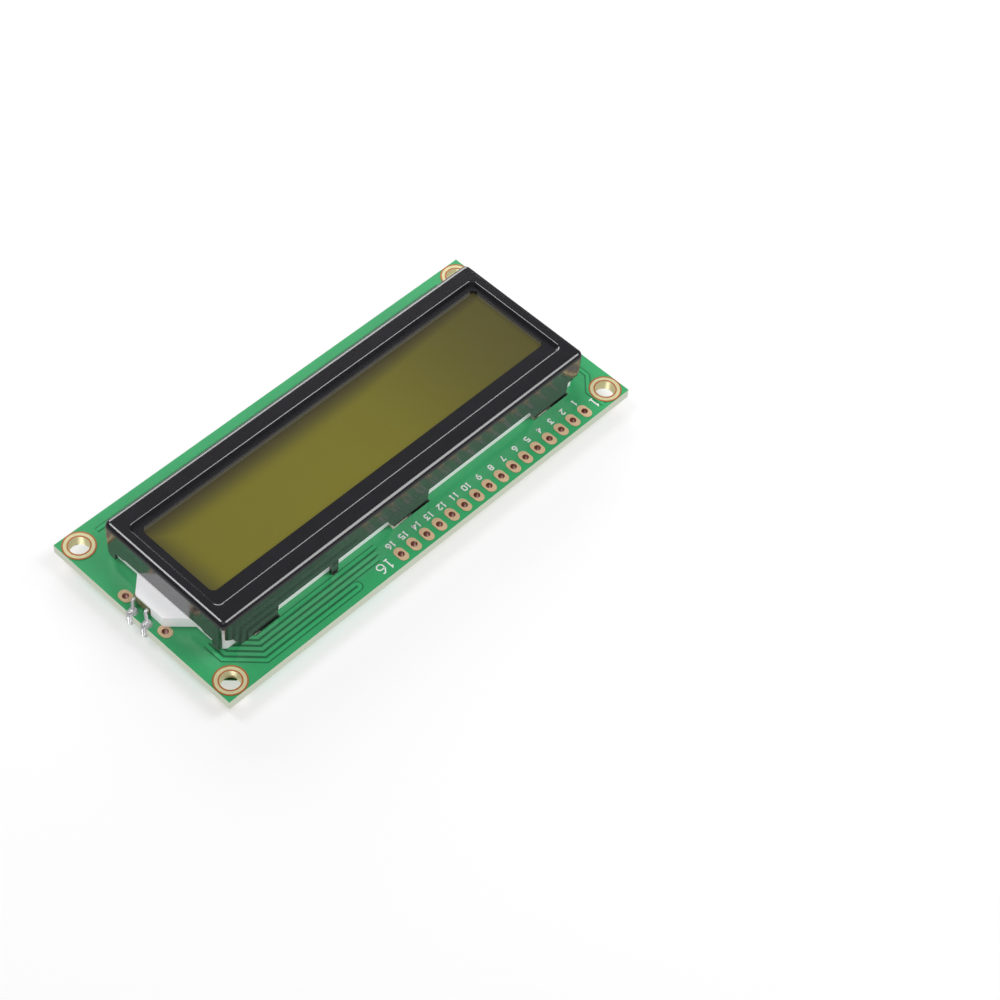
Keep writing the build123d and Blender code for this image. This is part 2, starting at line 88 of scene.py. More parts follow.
# Strokes of the printed digits on a grid 4 wide and 6 high
DIGIT_RISE = 6
DIGIT_PITCH = 5.4  # from one digit of a number to the next
DIGITS = {
    "0": [[(1, 0), (3, 0), (4, 1), (4, 5), (3, 6), (1, 6), (0, 5), (0, 1), (1, 0)]],
    "1": [[(1, 5), (2, 6), (2, 0)], [(0.8, 0), (3.2, 0)]],
    "2": [[(0, 5), (1, 6), (3, 6), (4, 5), (4, 4), (0, 0), (4, 0)]],
    "3": [[(0, 6), (4, 6), (2, 3.6), (3, 3.6), (4, 2.6), (4, 1), (3, 0), (1, 0), (0, 1)]],
    "4": [[(3, 0), (3, 6), (0, 2), (4.2, 2)]],
    "5": [[(4, 6), (0, 6), (0, 3.4), (3, 3.4), (4, 2.4), (4, 1), (3, 0), (0, 0)]],
    "6": [[(3.5, 6), (2, 6), (0, 3.6), (0, 1), (1, 0), (3, 0), (4, 1), (4, 2.4), (3, 3.4), (0, 3.4)]],
    "7": [[(0, 6), (4, 6), (1.6, 0)]],
    "8": [
        [(1, 3.2), (0, 4), (0, 5), (1, 6), (3, 6), (4, 5), (4, 4), (3, 3.2), (4, 2.4), (4, 1)],
        [(4, 1), (3, 0), (1, 0), (0, 1), (0, 2.4), (1, 3.2), (3, 3.2)],
    ],
    "9": [[(0.5, 0), (2, 0), (4, 2.4), (4, 5), (3, 6), (1, 6), (0, 5), (0, 3.6), (1, 2.6), (4, 2.6)]],
    "+": [[(0.6, 3), (3.4, 3)], [(2, 1.6), (2, 4.4)]],
    "-": [[(0.6, 3), (3.4, 3)]],
}


def linear(hex_code):
    """Turns an sRGB hex colour into linear red, green and blue."""
    channels = [int(hex_code[i : i + 2], 16) / 255 for i in (0, 2, 4)]
    return tuple(c / 12.92 if c <= 0.04045 else ((c + 0.055) / 1.055) ** 2.4 for c in channels)


def colour_property(name, description, hex_code):
    """A colour that the user may change, with its default given as sRGB hex."""
    return bpy.props.FloatVectorProperty(
        name=name, description=description, subtype="COLOR", size=3, min=0, max=1, default=linear(hex_code)
    )


def length_property(name, description, default):
    """A length that the user may change."""
    return bpy.props.FloatProperty(
        name=name, description=description, default=default, min=0, unit="LENGTH", precision=5
    )


def share_property(name, description, default):
    """A number from 0 to 1 that the user may change."""
    return bpy.props.FloatProperty(
        name=name, description=description, default=default, min=0, max=1, subtype="FACTOR"
    )


def power_property(name, description, default):
    """The power of a light that the user may change."""
    return bpy.props.FloatProperty(name=name, description=description, default=default, min=0, unit="POWER")


class BoardLook(bpy.types.PropertyGroup):
    """Colours and sizes of the circuit board"""

    mask: colour_property("Solder mask", "Green mask over copper", "35a968")
    mask_gap: colour_property("Mask in the gaps", "Green mask over bare laminate", "1d7446")
    laminate: colour_property("Laminate", "Cut edge of the glass fibre board", "dfe6cf")
    ink: colour_property("Marking ink", "White printed marks", "f4f7f2")
    gold: colour_property("Plated lands", "Flat of the plated lands", "e3c29a")
    gold_pale: colour_property("Pale plating", "Flat of the corner rings", "e6dfae")
    bore: colour_property("Bores", "Walls of the plated holes", "9a4f35")
    rim: colour_property("Ring rims", "Thin edges of the corner rings", "c0703f")
    copper: colour_property("Bare copper", "Unplated lands on the back", "a98370")
    copper_bright: colour_property("Bright copper", "Polished spots of the bare lands", "cf9f88")
    track_width: length_property("Track width", "Width of one copper track", 0.42 * MM)
    track_gap: length_property("Track gap", "Bare laminate beside a track", 0.19 * MM)
    track_height: length_property("Track height", "Copper and mask above the board", 0.04 * MM)
    ink_width: length_property("Ink line width", "Width of a printed line", 0.36 * MM)
    ink_height: length_property("Ink height", "Printed ink above the board", 0.06 * MM)


class BezelLook(bpy.types.PropertyGroup):
    """Colours of the bezel frame"""

    paint: colour_property("Paint", "Black paint of the sheet", "1a191f")
    gloss: share_property("Roughness", "Roughness of the paint", 0.32)
    coat: share_property("Coat roughness", "Roughness of the clear top of the paint", 0.14)


class ScreenLook(bpy.types.PropertyGroup):
    """Colours of the screen"""

    olive: colour_property("Polariser", "Middle of the screen", "746f29")
    # Painted shade: the darker olive that the screen gets beside the bezel and towards its -X end
    olive_deep: colour_property("Polariser edge", "Screen beside the bezel", "4a452a")
    glass: colour_property("Glass", "Panes behind the polariser", "a9b38d")


class LampLook(bpy.types.PropertyGroup):
    """Colours of the backlight"""

    white: colour_property("White plastic", "Backlight frame", "eeeef0")
    resin: colour_property("Lamp resin", "Lamp in the tongue", "8f8a62")
    tin: colour_property("Tin", "Tinned wire and solder", "ececee")


class ChipLook(bpy.types.PropertyGroup):
    """Colours of the chips on the back"""

    epoxy: colour_property("Epoxy", "Black domed covers", "1b1b1f")
    ceramic: colour_property("Ceramic", "Sides of the chip resistors", "dcdcd6")
    glaze: colour_property("Glaze", "Top of the chip resistors", "1d1e22")


class StageLook(bpy.types.PropertyGroup):
    """Floor, light and camera"""

    floor: colour_property("Floor", "Plain pale floor", "fbfafb")
    top_power: power_property("Softbox", "Power of the softbox overhead", 0.16)
    strip_power: power_property("Strip lights", "Power of each small softbox that lines the bends", 0.75)
    under_power: power_property("Under light", "Power of the light below the floor", 0.6)
    lens: bpy.props.FloatProperty(
        name="Lens", description="Focal length of the camera", default=89.1, min=10, unit="CAMERA"
    )


LOOKS = {
    "display_board": BoardLook,
    "display_bezel": BezelLook,
    "display_screen": ScreenLook,
    "display_lamp": LampLook,
    "display_chips": ChipLook,
    "display_stage": StageLook,
}


def add_node(tree, kind, settings=None, values=None, links=None):
    """Adds a node, sets its own settings and input values, and links its inputs."""
    new = tree.nodes.new(kind)
    for key, value in (settings or {}).items():
        setattr(new, key, value)
    for key, value in (values or {}).items():
        new.inputs[key].default_value = value
    for key, output in (links or {}).items():
        tree.links.new(output, new.inputs[key])
    return new


def surface(name, light, dark, grain, rough, bump=0.0, shade=None, **values):
    """A finish whose colour wanders between two tones, with roughness and bump from the same grain.

    grain is the size of the pattern in metres and rough its lowest and highest roughness. shade may
    put another colour over the two tones: it gets the tree, the coordinates and the colour.
    """
    material = bpy.data.materials.new(name)
    material.use_nodes = True
    tree = material.node_tree
    tree.nodes.clear()
    place = add_node(tree, "ShaderNodeTexCoord")
    grains = add_node(
        tree,
        "ShaderNodeTexNoise",
        values={"Scale": 1 / grain, "Detail": 4.0, "Roughness": 0.6},
        links={"Vector": place.outputs["Object"]},
    )
    cloud = add_node(
        tree,
        "ShaderNodeTexNoise",
        values={"Scale": 1 / (CLOUD_GRAINS * grain), "Detail": 2.0},
        links={"Vector": place.outputs["Object"]},
    )
    wander = add_node(
        tree,
        "ShaderNodeMath",
        {"operation": "MULTIPLY_ADD", "use_clamp": True},
        {1: 0.5},
        {0: grains.outputs["Fac"], 2: cloud.outputs["Fac"]},
    )
    spread = add_node(
        tree,
        "ShaderNodeMapRange",
        values={"From Min": 0.45, "From Max": 1.0},
        links={"Value": wander.outputs["Value"]},
    )
    tones = add_node(
        tree,
        "ShaderNodeMix",
        {"data_type": "RGBA"},
        {"A": (*light, 1), "B": (*dark, 1)},
        {"Factor": spread.outputs["Result"]},
    )
    roughness = add_node(
        tree,
        "ShaderNodeMapRange",
        values={"From Min": 0.3, "From Max": 0.7, "To Min": rough[0], "To Max": rough[1]},
        links={"Value": grains.outputs["Fac"]},
    )
    colour = tones.outputs["Result"]
    if shade:
        colour = shade(tree, place, colour)
    shader = add_node(
        tree,
        "ShaderNodeBsdfPrincipled",
        values=values,
        links={"Base Color": colour, "Roughness": roughness.outputs["Result"]},
    )
    if bump:
        relief = add_node(
            tree,
            "ShaderNodeBump",
            values={"Strength": bump, "Distance": RELIEF},
            links={"Height": grains.outputs["Fac"]},
        )
        tree.links.new(relief.outputs["Normal"], shader.inputs["Normal"])
    add_node(tree, "ShaderNodeOutputMaterial", links={"Surface": shader.outputs["BSDF"]})
    return material


def darker(colour, share):
    """A colour with its red, green and blue at a share of what they were."""
    return [share * c for c in colour]


def walls_in(wall_colour):
    """Makes a shade that gives upright walls a colour of their own and leaves flat faces as they are."""

    def shade(tree, place, colour):
        normal = add_node(tree, "ShaderNodeSeparateXYZ", links={"Vector": place.outputs["Normal"]})
        flat = add_node(tree, "ShaderNodeMath", {"operation": "ABSOLUTE"}, links={0: normal.outputs["Z"]})
        return add_node(
            tree,
            "ShaderNodeMix",
            {"data_type": "RGBA"},
            {"A": (*wall_colour, 1)},
            {"Factor": flat.outputs["Value"], "B": colour},
        ).outputs["Result"]

    return shade


def dress(nodes, material):
    """Gives CAD nodes a finish."""
    for name in nodes:
        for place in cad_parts[name].material_slots:
            place.material = material


def numbered(stem):
    """Names of the CAD nodes that start with a stem and end in a number."""
    return sorted(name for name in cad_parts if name.startswith(stem) and name[len(stem) :].isdigit())


def add_piece(name, bm, materials):
    """Makes a mesh object from a bmesh and lets it ride on the module."""
    bmesh.ops.remove_doubles(bm, verts=bm.verts, dist=MERGE)
    bmesh.ops.recalc_face_normals(bm, faces=bm.faces)
    mesh = bpy.data.meshes.new(name)
    bm.to_mesh(mesh)
    bm.free()
    for material in materials:
        mesh.materials.append(material)
    piece = bpy.data.objects.new(name, mesh)
    bpy.context.scene.collection.objects.link(piece)
    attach(piece, "root")
    return piece


def side_step(points, i, closed):
    """Half the mitre across a path at its point i, for a path one unit wide."""
    runs = []
    if i > 0 or closed:
        runs.append((points[i] - points[i - 1]).normalized())
    if i < len(points) - 1 or closed:
        runs.append((points[(i + 1) % len(points)] - points[i]).normalized())
    middle = sum(runs, Vector((0, 0))).normalized()
    across = Vector((-middle.y, middle.x))
    return across * 0.5 / max(MITRE_LIMIT, middle.dot(runs[0]))


def lay_ribbon(bm, path, width, level):
    """Lays a flat mitred ribbon along a path of points by extruding its first edge from point to point."""
    points = [Vector(p) for p in path]
    closed = len(points) > 3 and (points[0] - points[-1]).length < CLOSED
    if closed:
        points.pop()
    sides = [side_step(points, i, closed) * width for i in range(len(points))]
    rows = [((p + s).to_3d(), (p - s).to_3d()) for p, s in zip(points, sides)]
    if closed:
        rows.append(rows[0])
    for row in rows:
        for corner in row:
            corner.z = level
    left, right = (bm.verts.new(corner) for corner in rows[0])
    edge = bm.edges.new((left, right))
    for row in rows[1:]:
        grown = bmesh.ops.extrude_edge_only(bm, edges=[edge])["geom"]
        edge = next(part for part in grown if isinstance(part, bmesh.types.BMEdge))
        left, right = sorted(edge.verts, key=lambda v: (v.co - left.co).length)
        left.co, right.co = row


def face_of_board(back):
    """Height of the front or the back of the board, and 1 or -1 for the way out of it."""
    return (BACK, -1) if back else (FRONT, 1)


def raise_faces(bm, height):
    """Gives flat faces a thickness along z and closes them underneath."""
    grown = bmesh.ops.extrude_face_region(bm, geom=bm.faces[:], use_keep_orig=True)["geom"]
    tops = [part for part in grown if isinstance(part, bmesh.types.BMVert)]
    bmesh.ops.translate(bm, verts=tops, vec=(0, 0, height))


def add_ribbons(name, paths, width, height, back, material):
    """Raised lines of one width on the front or the back of the board."""
    bm = bmesh.new()
    face, up = face_of_board(back)
    for i, path in enumerate(paths):
        lay_ribbon(bm, path, width, face - up * SINK - up * (i % LEVEL_STEPS) * LEVEL_STEP)
    bmesh.ops.remove_doubles(bm, verts=bm.verts, dist=MERGE / 2)
    raise_faces(bm, up * (height + SINK))
    return add_piece(name, bm, [material])


def circle_path(x, y, r, parts=48, start=0.0, turn=360.0):
    """Points of an arc; a whole turn is closed."""
    angles = [math.radians(start + turn * i / parts) for i in range(parts + 1)]
    return [(x + r * math.cos(a), y + r * math.sin(a)) for a in angles]


def box_path(x0, y0, x1, y1):
    """Corners of a closed box."""
    return [(x0, y0), (x1, y0), (x1, y1), (x0, y1), (x0, y0)]


def shifted_path(path, offset):
    """A path moved sideways by the same distance all along."""
    points = [Vector(p) for p in path]
    return [tuple(p + side_step(points, i, False) * 2 * offset) for i, p in enumerate(points)]


def bundle(path, count, pitch):
    """Parallel copies of a path: to its left, or to its right where the pitch is negative."""
    return [shifted_path(path, i * pitch) for i in range(count)]


def number_paths(text, x, y, height, back=False):
    """Strokes of a printed number whose lower left corner, as it is read, stands at x and y."""
    unit = height / DIGIT_RISE
    way = -1 if back else 1
    paths = []
    for i, sign in enumerate(text):
        for stroke in DIGITS[sign]:
            paths.append([(x + way * (u + DIGIT_PITCH * i) * unit, y + v * unit) for u, v in stroke])
    return paths


def in_metres(paths):
    """Turns paths drawn in millimetres into metres."""
    return [[(x * MM, y * MM) for x, y in path] for path in paths]


def add_discs(name, spots, height, back, material):
    """Flat round or rounded rectangular spots on one face of the board, with softened edges.

    Each spot is x, y, its length along x, its width along y and its corner radius, in metres.
    """
    bm = bmesh.new()
    face, up = face_of_board(back)
    for x, y, length, width, corner in spots:
        made = bmesh.ops.create_grid(bm, x_segments=1, y_segments=1, size=0.5)["verts"]
        bmesh.ops.scale(bm, verts=made, vec=(length, width, 1))
        bmesh.ops.translate(bm, verts=made, vec=(x, y, face - up * SINK))
        bmesh.ops.bevel(
            bm, geom=made, offset=corner, affect="VERTICES", segments=CORNER_STEPS, profile=0.5, material=-1
        )
    raise_faces(bm, up * (height + SINK))
    top = face + up * height
    upper = [e for e in bm.edges if all(abs(v.co.z - top) < 0.1 * MERGE for v in e.verts)]
    rims = [e for e in upper if len(e.link_faces) == 2 and any(abs(f.normal.z) < 0.5 for f in e.link_faces)]
    bmesh.ops.bevel(
        bm, geom=rims, offset=SPOT_EDGE * height, affect="EDGES", segments=1, profile=0.5, material=-1
    )
    return add_piece(name, bm, [material])


# Layout of the copper and the print, in millimetres as drawn on the board

LANE_PITCH = 0.92  # from one lane of the front to the next
BACK_PITCH = 0.85  # from one track of a bundle on the back to the next
FINE_PITCH = 0.8  # the same in a narrow bundle
ROUND_PITCH = 0.9  # between the tracks that run round the chips
COMB_PITCH = 0.95  # between the short tracks beside the domed covers
ROUND_PADS = ((31.4, 5.5), (29.4, 5.5), (27.2, 5.5))
ROW_PITCH = 2.38  # from one chip resistor of the row to the next


def pin_places():
    """Where the header pins stand along x, taken from their lands."""
    boxes = [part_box(name) for name in numbered("header_land_")]
    return [(low.x + high.x) / 2 / MM for low, high in boxes]


def front_track_paths():
    """Five lanes round the corner of the bezel, the loop that joins two of them, and two lone tracks."""
    lanes = bundle([(36.0, 9.0), (36.0, 12.2), (31.7, 16.5), (14.4, 16.5)], 5, LANE_PITCH)
    lanes[1] = lanes[1][:3] + [(14.4, 15.58)]
    lanes[2:] = [lane[:3] + [(8.9 - 0.6 * i, lane[3][1])] for i, lane in enumerate(lanes[2:])]
    loop = circle_path(14.4, 16.04, 0.46, 8, 90, 180)
    left = [(-35.2, 17.3), (-35.2, 14.2), (-37.6, 11.8), (-37.6, 7.0)]
    lower = [(-34.0, -15.9), (34.0, -15.9)]
    return lanes + [loop, left, lower]


def front_number_paths():
    """Pin numbers under the header lands and large ones at both ends of the row."""
    paths = number_paths("1", -34.9, 15.4, 1.55) + number_paths("16", 7.9, 15.5, 1.55)
    for pin, x in enumerate(pin_places(), 1):
        half_width = 0.28 if pin < 10 else 0.66
        paths += number_paths(str(pin), x - half_width, 13.75, 0.85)
    return paths


def back_track_paths():
    """Bundles of tracks on the back, from the header lands, the chips and the lamp lands."""
    paths = bundle([(37.7, 8.2), (37.7, 12.0), (35.7, 14.0), (8.2, 14.0)], 2, -BACK_PITCH)
    paths[1] = paths[1][:3] + [(23.6, paths[1][3][1])]
    paths += [[(14.9, 16.2), (13.3, 14.85), (8.4, 14.85)]]
    round_the_chips = [(23.6, -10.2), (23.6, -12.6), (21.9, -14.3), (-31.2, -14.3)]
    round_the_chips += [(-35.0, -10.5), (-35.0, -6.4), (-34.0, -5.4), (-34.0, 6.6)]
    paths += bundle(round_the_chips, 3, -ROUND_PITCH)
    paths += [[(37.0, -17.2), (-33.0, -17.2)]]
    for pin, x in list(enumerate(pin_places()))[3:12]:
        reach = 2.2 + 0.45 * (11 - pin)
        paths.append([(x, 14.9), (x, 13.9), (x - reach, 13.9 - reach), (x - reach, 12.6 - reach)])
    paths += bundle([(-4.2, 10.6), (-5.4, 10.6), (-8.0, 8.0)], 3, -FINE_PITCH)
    paths += bundle([(23.6, 8.4), (23.6, 0.5), (21.4, -1.7)], 4, -FINE_PITCH)
    for start, count in ((8.8, 6), (-6.2, 8), (-18.2, 7)):
        for x in (start - COMB_PITCH * i for i in range(count)):
            paths.append([(x, -9.6), (x, -11.2)])
    down_the_end = [(-31.6, 14.0), (-33.0, 14.0), (-34.5, 12.5), (-34.5, 9.6), (-37.0, 7.1), (-37.0, 1.5)]
    paths += bundle(down_the_end, 3, -BACK_PITCH)
    paths += bundle([(25.0, -9.8), (17.0, -9.8), (14.6, -7.9)], 3, -FINE_PITCH)
    return paths


def back_ring_paths():
    """Rings round the two domed covers."""
    return [circle_path(13.8, 0.4, 6.56, 72), circle_path(-12.8, -0.2, 7.36, 72)]


def back_box_paths():
    """Printed boxes round the chips and the empty places."""
    paths = [box_path(16.7, 11.1, 23.1, 13.9), box_path(-33.5, 6.55, -28.5, -7.8)]
    paths += [[(-33.5, y), (-28.5, y)] for y in (4.1, 1.75, -0.65, -3.05, -5.4)]
    paths += [box_path(-25.15, -2.75, -19.95, -7.5), [(-25.15, -5.05), (-19.95, -5.05)]]
    paths += [box_path(32.75, -1.5, 26.6, -4.4), box_path(32.75, -5.1, 26.6, -8.0)]
    paths += [box_path(30.75, 4.0, 27.9, -1.0), circle_path(29.3, 4.0, 0.6, 10, 180, 180)]
    paths.append(circle_path(*ROUND_PADS[0], 1.25, 16, 90, -180)[::-1] + [(29.5, 6.75)])
    paths += [circle_path(x, y, 1.15, 20) for x, y in ROUND_PADS]
    return paths


def back_number_paths():
    """Numbers beside the chips, the header row and the lamp lands."""
    marks = [("1", -33.9, 15.5, 1.5), ("16", 9.6, 15.7, 1.5)]
    for row in range(6):
        y = 4.7 - ROW_PITCH * row
        marks += [(str(6 - row), -27.1, y, 1.25), ("1", -26.1, y, 1.25)]
    marks += [("8", -20.6, -2.1, 1.3), ("9", -20.6, -9.4, 1.3), ("7", 26.2, 12.9, 1.4)]
    marks += [("12", 35.1, -3.8, 1.1), ("13", 35.4, -7.0, 1.2), ("3", 24.4, -1.4, 1.4), ("5", 18.6, -7.6, 1.4)]
    marks += [("+", 25.5, -3.8, 1.6), ("+", 25.5, -7.4, 1.6), ("+", 39.1, 5.7, 1.5), ("-", 39.1, -7.6, 1.5)]
    return [path for mark in marks for path in number_paths(*mark, back=True)]


def back_pad_spots():
    """Bare lands of the places that stay empty: x, y, length, width and corner."""
    spots = [(x, y, 1.5, 0.6, 0.12) for x in (32.25, 26.4) for y in (3.4, 2.15, 0.9, -0.35)]
    spots += [(x, y, 1.7, 1.9, 0.25) for x in (31.3, 28.05) for y in (-2.95, -6.55)]
    spots += [(x, -6.27, 1.5, 1.5, 0.25) for x in (-21.25, -23.9)]
    spots += [(x, y, 1.5, 1.5, 0.7) for x, y in ROUND_PADS]
    spots += [(37.1, -10.1, 2.0, 2.0, 0.98), (-37.75, 10.9, 2.0, 2.0, 0.98)]
    return [tuple(v * MM for v in spot) for spot in spots]


class OBJECT_OT_display_board(bpy.types.Operator):
    """Solder mask, laminate edge and plated lands of the circuit board"""

    bl_idname = "object.display_board"
    bl_label = "Board finishes"

    def execute(self, context):
        look = context.scene.display_board

        # Green solder mask, screened on and cured: an even satin film over copper. The cut edge of the
        # glass fibre is pale
        mask = surface(
            "solder_mask", look.mask, darker(look.mask, 0.86), 0.8 * MM, (0.3, 0.42), 0.08,
            walls_in(look.laminate), **{"Coat Weight": 0.25, "Coat Roughness": 0.2},
        )
        dress(["circuit_board"], mask)
        # Gold flash over nickel and copper: warm tan flats, copper red in the bores
        lands = surface(
            "gold_flash", look.gold, darker(look.gold, 0.8), 0.5 * MM, (0.3, 0.5), 0.15,
            walls_in(look.bore), Metallic=0.1,
        )
        dress(numbered("header_land_") + numbered("lamp_land_") + numbered("round_land_"), lands)
        # The same plating, thicker and paler, on the rings of the corner holes
        pale = surface(
            "gold_flash_pale", look.gold_pale, darker(look.gold_pale, 0.85), 0.5 * MM, (0.3, 0.45), 0.1,
            Metallic=0.3,
        )
        dress(numbered("mounting_ring_"), pale)
        # Bare copper gone dull in air: reddish tan with cloudy spots
        dull = surface(
            "dull_copper", look.copper_bright, look.copper, 0.5 * MM, (0.35, 0.55), 0.15, Metallic=0.3
        )
        dress(numbered("tab_land_"), dull)
        # Copper showing at the rims of the ring plating
        rim = surface(
            "ring_rim_copper", look.rim, darker(look.rim, 0.8), 0.3 * MM, (0.3, 0.5), 0.1, Metallic=0.3
        )
        rim_width, rim_height = 0.22 * MM, 0.075 * MM
        bore_rim = 1.64 * MM  # radius of the line round the bore
        rim_out = 0.05 * MM  # how far the middle of the outer line lies past the ring
        paths = []
        for name in numbered("mounting_ring_"):
            low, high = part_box(name)
            middle, size = (low + high) / 2, high - low
            paths += [circle_path(middle.x, middle.y, r, 64) for r in (bore_rim, size.x / 2 + rim_out)]
        for face, back in (("front", False), ("back", True)):
            add_ribbons(f"ring_rims_{face}", paths, rim_width, rim_height, back, rim)
        return {"FINISHED"}


class OBJECT_OT_display_copper(bpy.types.Operator):
    """Copper tracks under the mask on both faces, and the bare lands of the empty places"""

    bl_idname = "object.display_copper"
    bl_label = "Copper tracks"

    def execute(self, context):
        look = context.scene.display_board
        # Solder mask straight on the laminate beside the copper: a darker green
        gap = surface(
            "solder_mask_gap", look.mask_gap, darker(look.mask_gap, 0.8), 0.8 * MM, (0.32, 0.45), 0.05
        )
        # Solder mask over a copper track: lighter and smoother
        over = surface(
            "solder_mask_track", [min(1, 1.12 * c) for c in look.mask], look.mask,
            0.8 * MM, (0.26, 0.36), 0.05, **{"Coat Weight": 0.25, "Coat Roughness": 0.2},
        )
        # Bare copper gone dull in air
        bare = surface(
            "bare_copper", look.copper_bright, look.copper, 0.4 * MM, (0.35, 0.55), 0.15, Metallic=0.3
        )
        gap_height = 0.012 * MM
        front_share = 1.3  # the tracks of the front are this much wider than those of the back
        for back, paths in ((False, front_track_paths()), (True, back_track_paths())):
            face = "back" if back else "front"
            lines = in_metres(paths)
            width = look.track_width * (1 if back else front_share)
            gap_width = width + 2 * look.track_gap
            add_ribbons(f"{face}_gaps", lines, gap_width, gap_height, back, gap)
            add_ribbons(f"{face}_tracks", lines, width, look.track_height, back, over)
        add_discs("back_bare_lands", back_pad_spots(), look.ink_height, True, bare)
        # Dark discs in the round lands stand for their holes: painted shade, a hair above the lands so that
        # they show
        holes = [(x * MM, y * MM, 0.62 * MM, 0.62 * MM, 0.3 * MM) for x, y in ROUND_PADS]
        hole_shade_height = look.ink_height + 0.004 * MM
        shadow = surface("hole_shadow", linear("3a2a20"), linear("241a14"), 0.2 * MM, (0.6, 0.8), 0.05)
        add_discs("back_land_hole_shade", holes, hole_shade_height, True, shadow)
        dot = (-36.4 * MM, 9.35 * MM, 2.5 * MM, 2.5 * MM, 1.2 * MM)
        add_discs("front_mark_dot", [dot], look.ink_height, False, bare)
        return {"FINISHED"}


class OBJECT_OT_display_print(bpy.types.Operator):
    """White printed rings, boxes and numbers on both faces"""

    bl_idname = "object.display_print"
    bl_label = "Printed marks"

    def execute(self, context):
        look = context.scene.display_board
        # White epoxy marking ink, screen printed: matt and slightly uneven
        ink = surface("marking_ink", look.ink, darker(look.ink, 0.86), 0.15 * MM, (0.5, 0.7), 0.1)
        marks = (
            ("front_numbers", front_number_paths(), 0.55, False),
            ("back_rings", back_ring_paths(), 1.2, True),
            ("back_boxes", back_box_paths(), 1.0, True),
            ("back_numbers", back_number_paths(), 0.7, True),
        )
        for name, paths, share, back in marks:
            add_ribbons(name, in_metres(paths), share * look.ink_width, look.ink_height, back, ink)
        return {"FINISHED"}


class OBJECT_OT_display_bezel(bpy.types.Operator):
    """Black painted steel of the bezel frame"""

    bl_idname = "object.display_bezel"
    bl_label = "Bezel finish"

    def execute(self, context):
        look = context.scene.display_bezel
        # Black baked paint on steel sheet: satin, with fine orange peel
        paint = surface(
            "black_painted_steel", look.paint, darker(look.paint, 0.6), 0.25 * MM,
            (look.gloss - 0.06, look.gloss + 0.06), 0.1,
            **{"Specular IOR Level": 0.15, "Coat Weight": 1.0, "Coat Roughness": look.coat, "Coat IOR": 1.7},
        )
        dress(["bezel_frame"], paint)
        return {"FINISHED"}


class OBJECT_OT_display_screen(bpy.types.Operator):
    """Polariser film and glass of the screen"""

    bl_idname = "object.display_screen"
    bl_label = "Screen finishes"

    def execute(self, context):
        look = context.scene.display_screen
        low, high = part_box("front_polariser")
        middle = (low + high) / 2
        half = (high - low) / 2
        # The painted shade from the frame is wider at the -Y edge
        clear_shift = 1.2 * MM  # moves the clear middle towards +Y, so that the -Y edge is the darker one

        # Painted shade: mixes in the darker olive at the border under the frame and towards the -X end
        def darker_edge(tree, place, colour):
            centred = add_node(
                tree,
                "ShaderNodeMapping",
                values={
                    "Location": (-middle.x / half.x, -(middle.y + clear_shift) / half.y, 0),
                    "Scale": (1 / half.x, 1 / half.y, 0),
                },
                links={"Vector": place.outputs["Object"]},
            )
            away = add_node(
                tree, "ShaderNodeVectorMath", {"operation": "ABSOLUTE"}, links={0: centred.outputs["Vector"]}
            )
            signed = add_node(tree, "ShaderNodeSeparateXYZ", links={"Vector": centred.outputs["Vector"]})
            parts = add_node(tree, "ShaderNodeSeparateXYZ", links={"Vector": away.outputs["Vector"]})
            ramps = (
                (parts.outputs["X"], {"From Min": 0.84, "From Max": 1.0}),
                (parts.outputs["Y"], {"From Min": 0.5, "From Max": 0.95}),
                (signed.outputs["X"], {"From Min": 0.1, "From Max": -1.0, "To Max": 0.75}),
            )
            across, along, far_end_shade = (
                add_node(
                    tree, "ShaderNodeMapRange", {"interpolation_type": "SMOOTHSTEP"}, reach, {"Value": source}
                ).outputs["Result"]
                for source, reach in ramps
            )
            frame_shade = add_node(tree, "ShaderNodeMath", {"operation": "MAXIMUM"}, links={0: across, 1: along})
            edge = add_node(
                tree, "ShaderNodeMath", {"operation": "MAXIMUM"}, links={0: frame_shade.outputs["Value"], 1: far_end_shade}
            )
            return add_node(
                tree,
                "ShaderNodeMix",
                {"data_type": "RGBA"},
                {"B": (*look.olive_deep, 1)},
                {"Factor": edge.outputs["Value"], "A": colour},
            ).outputs["Result"]

        # Olive polariser film over the cell: smooth plastic, with painted shade from the frame round it and
        # towards its -X end
        film = surface(
            "polariser_film", look.olive, darker(look.olive, 0.9), 3 * MM, (0.16, 0.22), 0.0,
            darker_edge, **{"Coat Weight": 0.3, "Coat Roughness": 0.08},
        )
        dress(["front_polariser"], film)
        # Float glass panes and clear films, seen only at their edges
        glass = surface(
            "float_glass", look.glass, darker(look.glass, 0.8), 2 * MM, (0.05, 0.12), 0.0,
            **{"Transmission Weight": 0.6},
        )
        dress(["upper_glass", "lower_glass", "rear_polariser"], glass)
        return {"FINISHED"}


